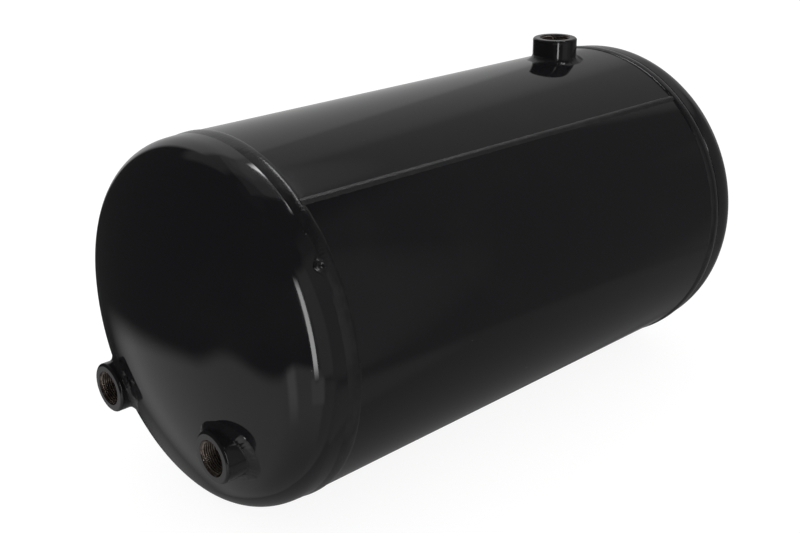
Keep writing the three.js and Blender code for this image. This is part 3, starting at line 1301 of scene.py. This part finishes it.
@dataclass
class Studio:
    """Pale floor, white surroundings, a tent and two strips that only reflections see, and the camera."""

    floor_height: float
    camera_place: Vector = Vector((0.56599, -0.55434, 0.30730))
    camera_aim: Vector = Vector((-0.01364, -0.02295, -0.01339))
    camera_roll: float = math.radians(-0.664)
    lens: float = 50.8
    background: float = 1.0
    floor_white: float = 1.06
    floor_glow: float = 0.85
    floor_radius: float = 8.0
    tent_radius: float = 30.0
    panels: tuple[SoftPanel, ...] = (
        SoftPanel(-160.0, 37.0, 26.0, 73.0, 6.0, 10.0, 0.29, 0.375),
        SoftPanel(-152.0, 28.0, -6.0, 36.0, 10.0, 12.0, 0.30),
        SoftPanel(-162.0, 20.0, -34.0, 0.0, 14.0, 10.0, 0.20),
        SoftPanel(-160.0, 26.0, 49.0, 62.0, 14.0, 10.0, 0.40),
        SoftPanel(-145.0, 17.0, -22.0, 68.0, 24.0, 12.0, 0.40),
        SoftPanel(-119.5, 21.0, -12.0, 50.0, 8.0, 12.0, 0.54, 0.12),
        SoftPanel(-97.0, 22.0, 38.0, 70.0, 12.0, 10.0, 0.19),
        SoftPanel(-140.0, 20.0, 50.0, 66.0, 14.0, 10.0, 0.34),
        SoftPanel(170.0, 28.0, -30.0, 24.0, 26.0, 12.0, 0.14),
        SoftPanel(123.0, 18.0, -60.0, -26.0, 14.0, 10.0, 0.21),
        SoftPanel(-150.0, 40.0, 66.0, 110.0, 30.0, 12.0, 0.17),
        SoftPanel(0.0, 200.0, 77.0, 110.0, 1.0, 8.0, 0.05),
        SoftPanel(98.0, 16.0, -20.0, 40.0, 12.0, 8.0, 0.33),
        SoftPanel(121.0, 15.0, -24.0, 42.0, 14.0, 10.0, 0.20, 0.1),
        SoftPanel(145.0, 26.0, -30.0, 50.0, 14.0, 12.0, 0.10),
        SoftPanel(76.0, 16.0, -36.0, -17.0, 12.0, 8.0, 0.60),
        SoftPanel(135.0, 60.0, -100.0, -24.0, 40.0, 10.0, 0.15),
        SoftPanel(95.0, 25.0, -100.0, -20.0, 24.0, 10.0, 0.26),
        SoftPanel(-140.0, 62.0, -100.0, -34.0, 30.0, 12.0, 0.15),
    )

    def build(self) -> None:
        """Make the surroundings and the camera."""
        self._world()
        self._floor()
        self._tent()
        self._strip("right_strip", Vector((0.863, -0.401, 0.19)), Vector((0.0, 0.0, 1.0)), 1.00, 0.12, 6.5)
        self._strip("rear_tube", Vector((-0.16, 0.864, 1.714)), Vector((1.0, 0.0, 0.0)), 1.44, 0.083, 9.0)
        self._camera()

    def _world(self) -> None:
        """White surroundings, which the gloss reflections leave out."""
        world = bpy.data.worlds.new("studio")
        world.use_nodes = True
        graph = Graph(world.node_tree)
        light = graph.add("ShaderNodeBackground", None, {
            "Color": (1.0, 1.0, 1.0, 1.0), "Strength": self.background})
        graph.add("ShaderNodeOutputWorld", None, {"Surface": light["Background"]})
        world.cycles_visibility.glossy = False
        bpy.context.scene.world = world
        bpy.context.scene.view_settings.view_transform = "Standard"

    def _floor(self) -> None:
        """Pale floor that takes a faint shadow."""
        rows = turned_rows([(0.0, self.floor_height), (self.floor_radius, self.floor_height)], 64, about_z)
        floor = linked(grid_mesh("floor", rows, close_rows=False, close_columns=True), "floor")
        material, graph = empty_material("pale_floor")
        tone = (self.floor_white, self.floor_white, self.floor_white, 1.0)
        glow = graph.add("ShaderNodeEmission", None, {"Color": tone, "Strength": 1.0})
        matt = graph.add("ShaderNodeBsdfDiffuse", None, {"Color": tone})
        both = graph.add("ShaderNodeMixShader", None, {
            0: self.floor_glow, 1: matt["BSDF"], 2: glow["Emission"]})
        graph.add("ShaderNodeOutputMaterial", None, {"Surface": both["Shader"]})
        floor.data.materials.append(material)
        floor.visible_glossy = False
        floor.visible_diffuse = False

    def _tent(self) -> None:
        """Far sphere that carries the surroundings' brightness by direction."""
        work = bmesh.new()
        bmesh.ops.create_uvsphere(work, u_segments=48, v_segments=24, radius=self.tent_radius)
        mesh = bpy.data.meshes.new("tent")
        work.to_mesh(mesh)
        work.free()
        material, graph, where = Finish.begin("tent_light")
        x, y, z = where.vector_math("NORMALIZE", where).parts()
        azimuth = x.math("ARCTAN2", x, -y) * math.degrees(1.0)
        height = z.math("ARCSINE", z) * math.degrees(1.0)
        light = self._front_floor(azimuth, height)
        for panel in self.panels:
            light = light.most(self._patch(azimuth, height, panel))
        shader = graph.add("ShaderNodeEmission", None, {"Color": (1.0, 1.0, 1.0, 1.0), "Strength": light})
        graph.add("ShaderNodeOutputMaterial", None, {"Surface": shader["Emission"]})
        mesh.materials.append(material)
        self._only_mirrored(linked(mesh, "tent"), material)

    @staticmethod
    def _patch(azimuth: Signal, height: Signal, panel: SoftPanel) -> Signal:
        """Radiance of one soft panel.

        Args:
            azimuth: direction round the tank, in degrees.
            height: direction above the horizon, in degrees.
            panel: the panel.

        Returns:
            Its radiance in that direction.
        """
        aside = azimuth - panel.azimuth - (height - 30.0) * panel.lean
        aside = abs(azimuth.math("WRAP", aside, 180.0, -180.0))
        across = aside.ramp(panel.half_width + panel.side_blur / 2, panel.half_width - panel.side_blur / 2)
        above = height.ramp(panel.low - panel.end_blur / 2, panel.low + panel.end_blur / 2)
        below = height.ramp(panel.high + panel.end_blur / 2, panel.high - panel.end_blur / 2)
        return across * above * below * panel.radiance

    @staticmethod
    def _front_floor(azimuth: Signal, height: Signal) -> Signal:
        """Radiance of the white ground in front, whose far edge wavers, over a dark room."""
        hump = abs(azimuth + 20.0).ramp(16.0, 0.0) * 4.5
        edge = azimuth.ramp(-10.0, 45.0) * 11.0 + hump - 22.5
        lit = (height - edge).ramp(1.5, -4.5) * azimuth.ramp(-95.0, -70.0) * azimuth.ramp(100.0, 80.0)
        tone = 0.21 + height.ramp(-75.0, -30.0) * 0.21
        hot = abs(azimuth - 24.0).ramp(14.0, 4.0) * height.ramp(-46.0, -26.0) * 0.4
        return lit * (tone + hot) + 0.025

    def _strip(self, name: str, centre: Vector, along: Vector, length: float, width: float,
               radiance: float) -> None:
        """A strip light that faces the tank.

        Args:
            name: its name.
            centre: its middle.
            along: direction of its length.
            length: its length.
            width: its width.
            radiance: its brightness.
        """
        across = along.cross(centre).normalized() * width / 2
        reach = along * length / 2
        rows = [[centre - reach - across, centre - reach + across],
                [centre + reach - across, centre + reach + across]]
        mesh = grid_mesh(name, rows, close_rows=False, close_columns=False)
        with_numbers(mesh, along=[-1.0, -1.0, 1.0, 1.0])
        strip = linked(mesh, name)
        material, graph = empty_material(f"{name}_light")
        from_middle = abs(graph.add("ShaderNodeAttribute", {"attribute_name": "along"})["Fac"])
        shader = graph.add("ShaderNodeEmission", None, {
            "Color": (1.0, 1.0, 1.0, 1.0), "Strength": from_middle.ramp(1.0, 0.55) * radiance})
        clear = graph.add("ShaderNodeBsdfTransparent")
        blend = graph.add("ShaderNodeMixShader", None, {
            0: from_middle.ramp(1.0, 0.90), 1: clear["BSDF"], 2: shader["Emission"]})
        graph.add("ShaderNodeOutputMaterial", None, {"Surface": blend["Shader"]})
        strip.data.materials.append(material)
        self._only_mirrored(strip, material)

    @staticmethod
    def _only_mirrored(thing: bpy.types.Object, material: bpy.types.Material) -> None:
        """Let only gloss reflections see a stage object."""
        thing.visible_camera = False
        thing.visible_diffuse = False
        thing.visible_shadow = False
        thing.visible_transmission = False
        material.cycles.emission_sampling = "NONE"

    def _camera(self) -> None:
        """The camera, a little above and to the right of the front head."""
        data = bpy.data.cameras.new("camera")
        data.lens = self.lens
        camera = bpy.data.objects.new("camera", data)
        bpy.context.scene.collection.objects.link(camera)
        look = (self.camera_aim - self.camera_place).to_track_quat("-Z", "Y").to_matrix().to_4x4()
        camera.matrix_world = Matrix.Translation(self.camera_place) @ look @ Matrix.Rotation(
            self.camera_roll, 4, "Z")
        bpy.context.scene.camera = camera


def main() -> None:
    """Build the studio and every sub-assembly in order."""
    logging.basicConfig(level=logging.INFO, format="%(name)s: %(message)s")
    shape = VesselShape.from_frame()
    floor_height = -max(abs(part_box("front_girth_weld")[0].z), abs(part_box("rear_girth_weld")[0].z))
    Studio(floor_height=floor_height).build()

    paint, weld, boss = GlossPaint().material(), WeldPaint().material(), BossFinish().material()
    # the seam's paint is a lighter black (0.014, patches of 0.030) on a rougher finish: the lighter colour is
    # painted sheen standing in for the glints along the seam bead
    seam_paint_with_sheen = WeldPaint(
        name="seam_black_weld_painted_sheen", colour=(0.014, 0.0135, 0.014, 1.0), dull_colour=(0.030, 0.029, 0.028, 1.0),
        roughness=0.28).material()
    satin = WeldPaint(name="satin_black_weld", roughness=0.15).material()
    ripples, threads = RippleTool(), ThreadTool()
    ports = {
        node: Port(node, facing, shape, boss, weld, ripples, threads, seed)
        for node, facing, seed in (
            ("front_left_boss", Facing.FORWARD, 21.0),
            ("front_right_boss", Facing.FORWARD, 34.0),
            ("top_boss", Facing.UP, 47.0))
    }
    for port in ports.values():
        port.build()
    shell = Shell(shape, paint)
    shell.build(ports["top_boss"])
    # the seam bead takes the lighter black, painted sheen
    SeamBead(shape, shell, seam_paint_with_sheen, ripples).build()
    front_ports = [ports["front_left_boss"], ports["front_right_boss"]]
    DishedHead(shape, paint, End.FRONT).build(front_ports)
    DishedHead(shape, paint, End.REAR).build([])
    GirthBead(shape, satin, ripples, End.FRONT, crown=0.0007, skew=0.5).build()
    GirthBead(shape, weld, ripples, End.REAR).build()


if __name__ == "__main__":
    main()
